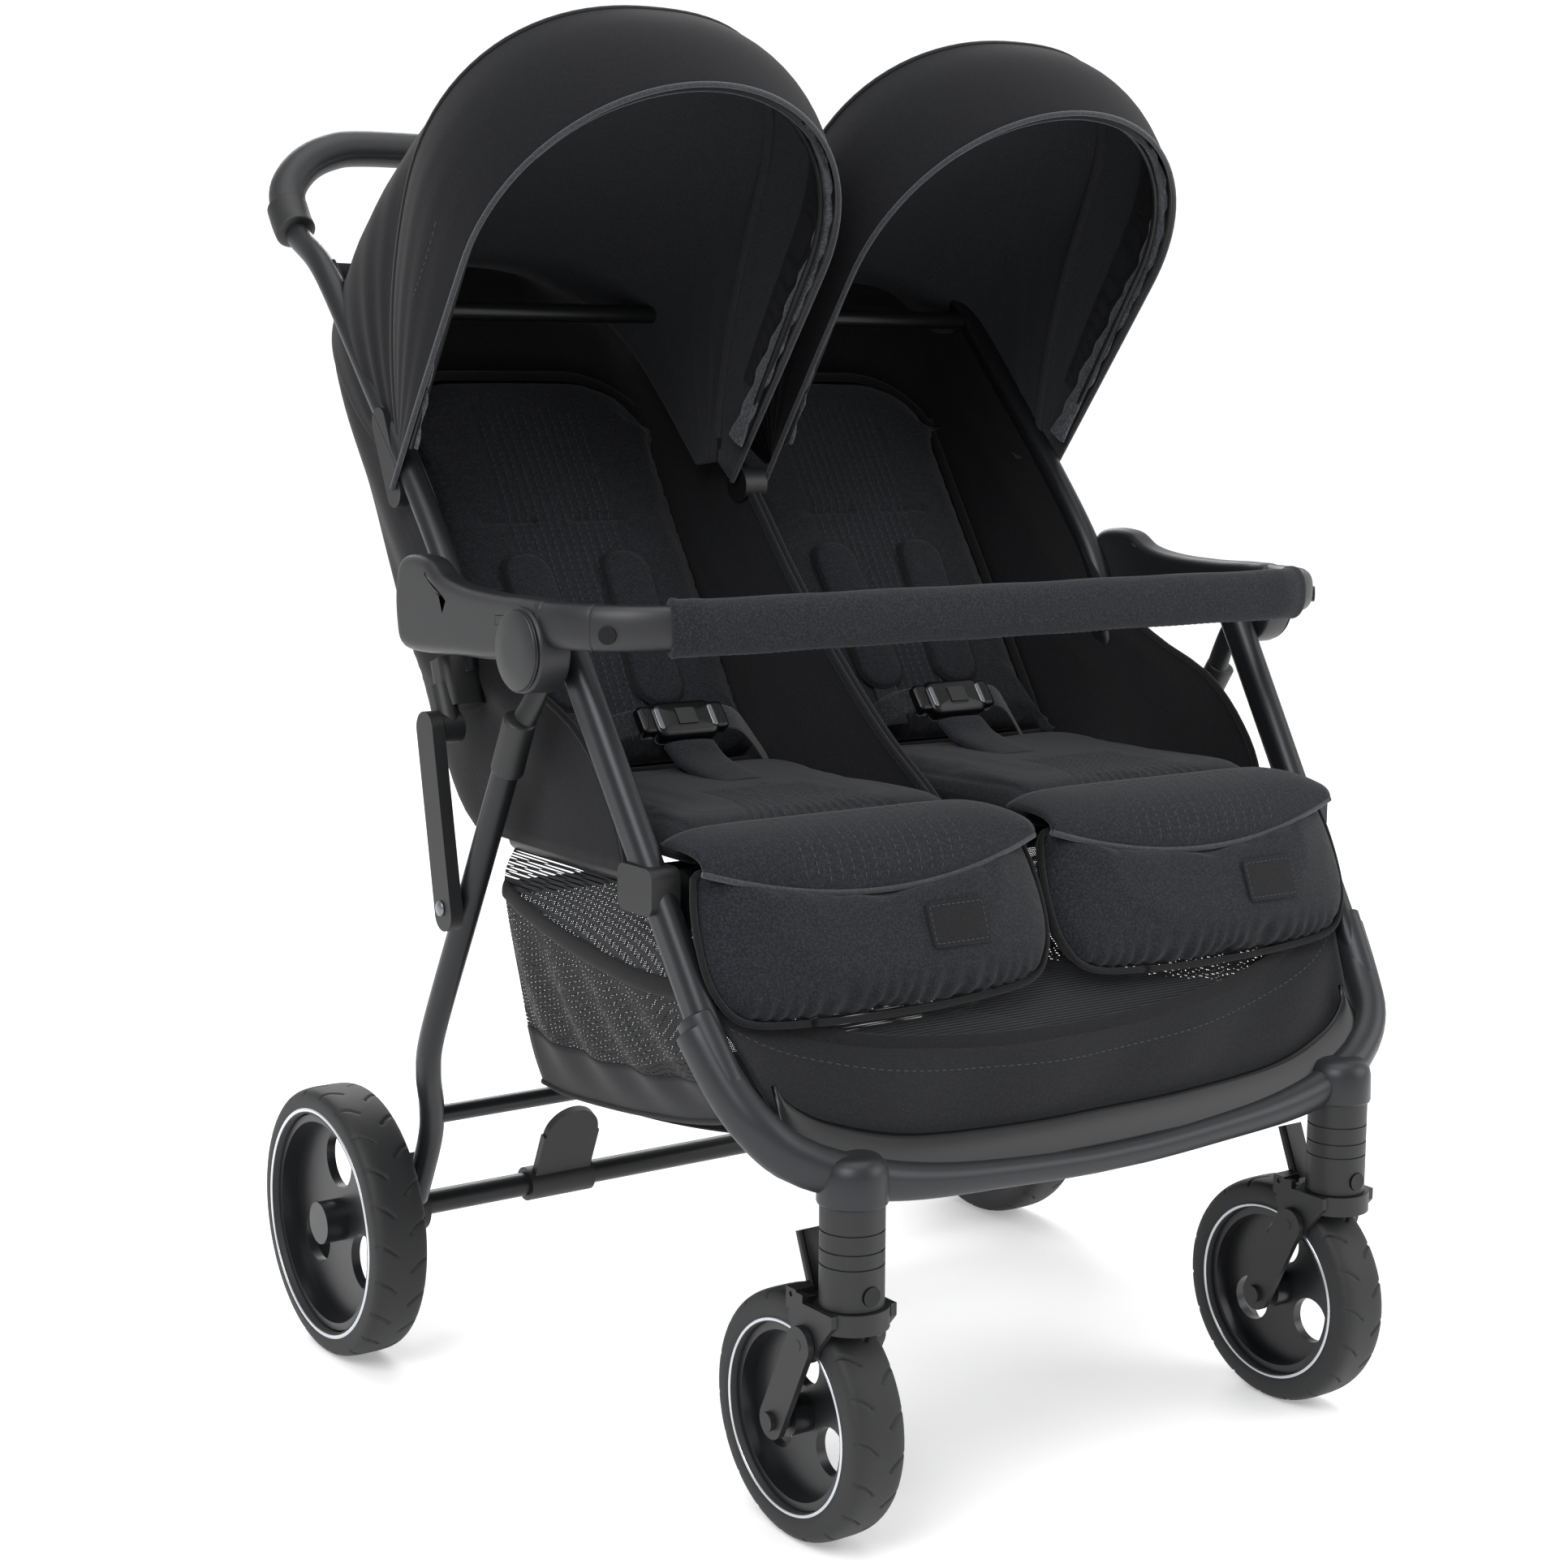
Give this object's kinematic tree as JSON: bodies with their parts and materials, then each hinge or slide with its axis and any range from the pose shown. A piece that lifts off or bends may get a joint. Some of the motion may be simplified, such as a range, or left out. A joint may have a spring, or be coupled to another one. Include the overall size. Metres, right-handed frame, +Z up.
{
  "type": "jogging stroller",
  "caption": "Side-by-side twin stroller with folding frame, swivel casters, hooded reclining seats, bumper bar, calf rests and a storage basket.",
  "frame": {"origin": "on the floor, below the middle of the bounding box", "axes": "+X to the child's left, +Y to the rear where the pusher walks, +Z up"},
  "size_m": [0.76, 0.791, 1.12],
  "materials": {
    "anodised_frame": "satin dark grey anodised",
    "cast_frame": "satin dark grey coat",
    "frame_tube": "satin black coat",
    "bolt_steel": "satin",
    "plastic": "fine moulded texture",
    "arm_plastic": "fine moulded texture",
    "gloss_plastic": "polished",
    "rim_plastic": "satin moulded",
    "tyre": "matte foam rubber",
    "grip_leather": "imitation leather",
    "seat_fabric": "melange weave",
    "trim_fabric": "fine knit over foam",
    "canopy_fabric": "close plain weave",
    "basket_fabric": "plain weave and mesh"
  },
  "bodies": {
    "front_frame": {"front_legs": "anodised_frame", "front_casting": "cast_frame", "footboard": "gloss_plastic", "hub_bolts": "bolt_steel", "seat_frame": "frame_tube", "seat_brackets": "plastic", "seat_pads": "seat_fabric", "crotch_pads": "trim_fabric", "buckles": "gloss_plastic", "basket": "basket_fabric", "caster_columns": "plastic"},
    "arm_frame": {"arms": "arm_plastic", "arm_caps": "arm_plastic"},
    "bumper": {"bumper_bar": "arm_plastic", "bumper_cover": "seat_fabric"},
    "bar_button_r": {"bar_button_right": "gloss_plastic"},
    "bar_button_l": {"bar_button_left": "gloss_plastic"},
    "handle_frame": {"handle_tubes": "anodised_frame", "handlebar": "frame_tube", "handle_grip": "grip_leather", "handle_sleeves": "plastic", "handle_crossbar": "frame_tube", "canopy_mounts": "plastic", "canopy_rears": "canopy_fabric"},
    "canopy_mid_r": {"canopy_mid_right": "canopy_fabric"},
    "canopy_mid_l": {"canopy_mid_left": "canopy_fabric"},
    "canopy_front_r": {"canopy_front_right": "canopy_fabric", "front_bow_right": "plastic"},
    "canopy_front_l": {"canopy_front_left": "canopy_fabric", "front_bow_left": "plastic"},
    "rear_frame": {"rear_legs": "anodised_frame", "rear_axle": "frame_tube", "rear_cross_tube": "frame_tube", "axle_housings": "plastic"},
    "links": {"fold_links": "plastic"},
    "brake": {"brake_pedal": "plastic"},
    "rear_wheel_r": {"rear_tyre_right": "tyre", "rear_rim_right": "rim_plastic"},
    "rear_wheel_l": {"rear_tyre_left": "tyre", "rear_rim_left": "rim_plastic"},
    "yoke_r": {"yoke_right": "plastic"},
    "suspension_r": {"suspension_arm_right": "plastic"},
    "swivel_lock_r": {"swivel_lock_right": "gloss_plastic"},
    "caster_button_r": {"caster_button_right": "gloss_plastic"},
    "front_wheel_r": {"front_tyre_right": "tyre", "front_rim_right": "rim_plastic"},
    "back_r": {"backrest_right": "seat_fabric", "shoulder_pads_right": "trim_fabric"},
    "calf_r": {"calf_rest_right": "seat_fabric"},
    "buckle_button_r": {"buckle_button_right": "plastic"},
    "yoke_l": {"yoke_left": "plastic"},
    "suspension_l": {"suspension_arm_left": "plastic"},
    "swivel_lock_l": {"swivel_lock_left": "gloss_plastic"},
    "caster_button_l": {"caster_button_left": "gloss_plastic"},
    "front_wheel_l": {"front_tyre_left": "tyre", "front_rim_left": "rim_plastic"},
    "back_l": {"backrest_left": "seat_fabric", "shoulder_pads_left": "trim_fabric"},
    "calf_l": {"calf_rest_left": "seat_fabric"},
    "buckle_button_l": {"buckle_button_left": "plastic"}
  },
  "joints": [
    {"name": "fold", "type": "hinge", "parent": "arm_frame", "child": "handle_frame", "pos_m": [0, 0.055, 0.665], "axis": [1, 0, 0], "range_deg": [0, 95], "stiffness_Nm_per_rad": 20, "springref_deg": -57.3, "deforming": ["canopy_rears", "canopy_mid_right", "canopy_mid_left", "canopy_front_right", "canopy_front_left", "front_bow_right", "front_bow_left", "backrest_right", "backrest_left", "shoulder_pads_right", "shoulder_pads_left"]},
    {"name": "arm_tilt", "type": "hinge", "parent": "front_frame", "child": "arm_frame", "pos_m": [0, -0.125, 0.633], "axis": [1, 0, 0], "range_deg": [-69, 0]},
    {"name": "rear_fold", "type": "hinge", "parent": "front_frame", "child": "rear_frame", "pos_m": [0, -0.125, 0.633], "axis": [1, 0, 0], "range_deg": [-36.5, 0]},
    {"name": "link_swing", "type": "hinge", "parent": "rear_frame", "child": "links", "pos_m": [0, -0.001, 0.424], "axis": [1, 0, 0], "range_deg": [-54, 0]},
    {"name": "bumper_bar_release", "type": "slide", "parent": "arm_frame", "child": "bumper", "axis": [0, -1, 0], "range_m": [0, 0.05]},
    {"name": "brake_pedal_press", "type": "hinge", "parent": "rear_frame", "child": "brake", "pos_m": [-0.148, 0.22, 0.115], "axis": [1, 0, 0], "range_deg": [0, 20]},
    {"name": "bar_button_r_press", "type": "slide", "parent": "bumper", "child": "bar_button_r", "axis": [0.7547, 0.6561, 0], "range_m": [0, 0.002], "stiffness_N_per_m": 600, "springref_m": -0.001},
    {"name": "rear_wheel_r_spin", "type": "hinge", "parent": "rear_frame", "child": "rear_wheel_r", "pos_m": [-0.355, 0.22, 0.115], "axis": [1, 0, 0], "continuous": true},
    {"name": "caster_r_swivel", "type": "hinge", "parent": "front_frame", "child": "yoke_r", "pos_m": [-0.239, -0.355, 0.2], "axis": [0, 0, 1], "continuous": true},
    {"name": "suspension_r_travel", "type": "hinge", "parent": "yoke_r", "child": "suspension_r", "pos_m": [-0.239, -0.337, 0.158], "axis": [1, 0, 0], "range_deg": [0, 5], "stiffness_Nm_per_rad": 20, "springref_deg": -8.59},
    {"name": "front_wheel_r_spin", "type": "hinge", "parent": "suspension_r", "child": "front_wheel_r", "pos_m": [-0.239, -0.304, 0.0915], "axis": [1, 0, 0], "continuous": true},
    {"name": "swivel_lock_r_flip", "type": "hinge", "parent": "yoke_r", "child": "swivel_lock_r", "pos_m": [-0.239, -0.321, 0.19], "axis": [-1, 0, 0], "range_deg": [0, 25]},
    {"name": "caster_button_r_press", "type": "slide", "parent": "front_frame", "child": "caster_button_r", "axis": [0, 1, 0], "range_m": [0, 0.003], "stiffness_N_per_m": 600, "springref_m": -0.001},
    {"name": "backrest_r_recline", "type": "hinge", "parent": "front_frame", "child": "back_r", "pos_m": [-0.158, 0.07, 0.5], "axis": [-1, 0, 0], "range_deg": [0, 28]},
    {"name": "calf_rest_r_raise", "type": "hinge", "parent": "front_frame", "child": "calf_r", "pos_m": [-0.158, -0.232, 0.478], "axis": [-1, 0, 0], "range_deg": [0, 65]},
    {"name": "canopy_r_close", "type": "hinge", "parent": "canopy_mid_r", "child": "canopy_front_r", "pos_m": [-0.179, 0.135, 0.735], "axis": [-1, 0, 0], "range_deg": [0, 36], "deforming": ["canopy_front_right", "canopy_mid_right", "canopy_rears", "front_bow_right"]},
    {"name": "canopy_mid_r_follow", "type": "hinge", "parent": "handle_frame", "child": "canopy_mid_r", "pos_m": [-0.179, 0.135, 0.735], "axis": [-1, 0, 0], "range_deg": [0, 36]},
    {"name": "buckle_r_press", "type": "slide", "parent": "front_frame", "child": "buckle_button_r", "axis": [0, 0.788, -0.6157], "range_m": [0, 0.0012], "stiffness_N_per_m": 500, "springref_m": -0.001},
    {"name": "bar_button_l_press", "type": "slide", "parent": "bumper", "child": "bar_button_l", "axis": [-0.7547, 0.6561, 0], "range_m": [0, 0.002], "stiffness_N_per_m": 600, "springref_m": -0.001},
    {"name": "rear_wheel_l_spin", "type": "hinge", "parent": "rear_frame", "child": "rear_wheel_l", "pos_m": [0.355, 0.22, 0.115], "axis": [1, 0, 0], "continuous": true},
    {"name": "caster_l_swivel", "type": "hinge", "parent": "front_frame", "child": "yoke_l", "pos_m": [0.239, -0.355, 0.2], "axis": [0, 0, 1], "continuous": true},
    {"name": "suspension_l_travel", "type": "hinge", "parent": "yoke_l", "child": "suspension_l", "pos_m": [0.239, -0.337, 0.158], "axis": [1, 0, 0], "range_deg": [0, 5], "stiffness_Nm_per_rad": 20, "springref_deg": -8.59},
    {"name": "front_wheel_l_spin", "type": "hinge", "parent": "suspension_l", "child": "front_wheel_l", "pos_m": [0.239, -0.304, 0.0915], "axis": [1, 0, 0], "continuous": true},
    {"name": "swivel_lock_l_flip", "type": "hinge", "parent": "yoke_l", "child": "swivel_lock_l", "pos_m": [0.239, -0.321, 0.19], "axis": [-1, 0, 0], "range_deg": [0, 25]},
    {"name": "caster_button_l_press", "type": "slide", "parent": "front_frame", "child": "caster_button_l", "axis": [0, 1, 0], "range_m": [0, 0.003], "stiffness_N_per_m": 600, "springref_m": -0.001},
    {"name": "backrest_l_recline", "type": "hinge", "parent": "front_frame", "child": "back_l", "pos_m": [0.158, 0.07, 0.5], "axis": [-1, 0, 0], "range_deg": [0, 28]},
    {"name": "calf_rest_l_raise", "type": "hinge", "parent": "front_frame", "child": "calf_l", "pos_m": [0.158, -0.232, 0.478], "axis": [-1, 0, 0], "range_deg": [0, 65]},
    {"name": "canopy_l_close", "type": "hinge", "parent": "canopy_mid_l", "child": "canopy_front_l", "pos_m": [0.179, 0.135, 0.735], "axis": [-1, 0, 0], "range_deg": [0, 36], "deforming": ["canopy_front_left", "canopy_mid_left", "canopy_rears", "front_bow_left"]},
    {"name": "canopy_mid_l_follow", "type": "hinge", "parent": "handle_frame", "child": "canopy_mid_l", "pos_m": [0.179, 0.135, 0.735], "axis": [-1, 0, 0], "range_deg": [0, 36]},
    {"name": "buckle_l_press", "type": "slide", "parent": "front_frame", "child": "buckle_button_l", "axis": [0, 0.788, -0.6157], "range_m": [0, 0.0012], "stiffness_N_per_m": 500, "springref_m": -0.001}
  ],
  "couplings": [
    {"joint": "arm_tilt", "follows": "fold", "ratio": -0.721},
    {"joint": "rear_fold", "follows": "fold", "ratio": -0.38},
    {"joint": "link_swing", "follows": "fold", "ratio": -0.565},
    {"joint": "canopy_mid_r_follow", "follows": "canopy_r_close", "ratio": 0.95},
    {"joint": "canopy_mid_l_follow", "follows": "canopy_l_close", "ratio": 0.95}
  ]
}
